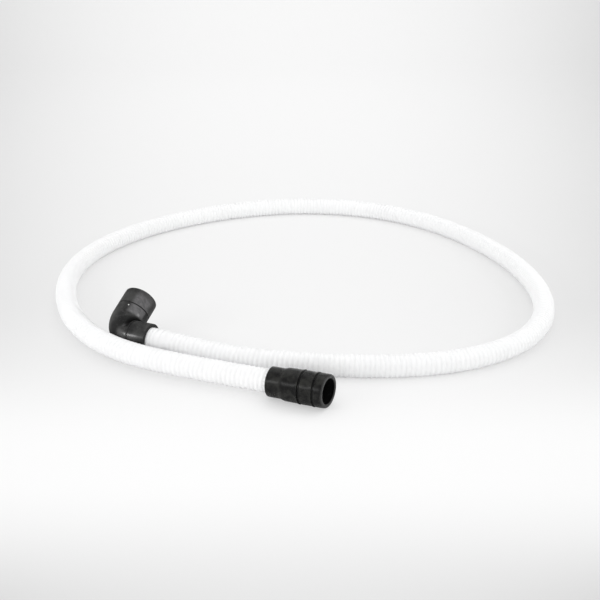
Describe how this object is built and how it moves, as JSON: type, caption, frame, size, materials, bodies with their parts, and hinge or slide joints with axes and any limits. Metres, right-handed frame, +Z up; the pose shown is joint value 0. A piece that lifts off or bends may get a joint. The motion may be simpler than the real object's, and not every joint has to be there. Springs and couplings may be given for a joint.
{
  "type": "dishwasher drain hose",
  "caption": "Loop of corrugated drain hose with a right-angle rubber elbow on its machine end and a stepped rubber sleeve on its drain end.",
  "frame": {"origin": "bottom centre of the box round the elbow and the sleeve, on the plane that the hose lies on", "axes": "+Z up; +X from the elbow towards the sleeve, whose mouth points along +X; the loop of the hose reaches away along +Y"},
  "size_m": [0.5842, 0.5739, 0.0534],
  "materials": {
    "white_plastic": "satin blown polypropylene, slightly translucent",
    "elbow_rubber": "matt moulded rubber with a grey bloom",
    "sleeve_rubber": "satin moulded rubber"
  },
  "bodies": {
    "root": {"corrugated_hose": "white_plastic", "rubber_elbow": "elbow_rubber", "rubber_sleeve": "sleeve_rubber"}
  },
  "joints": []
}
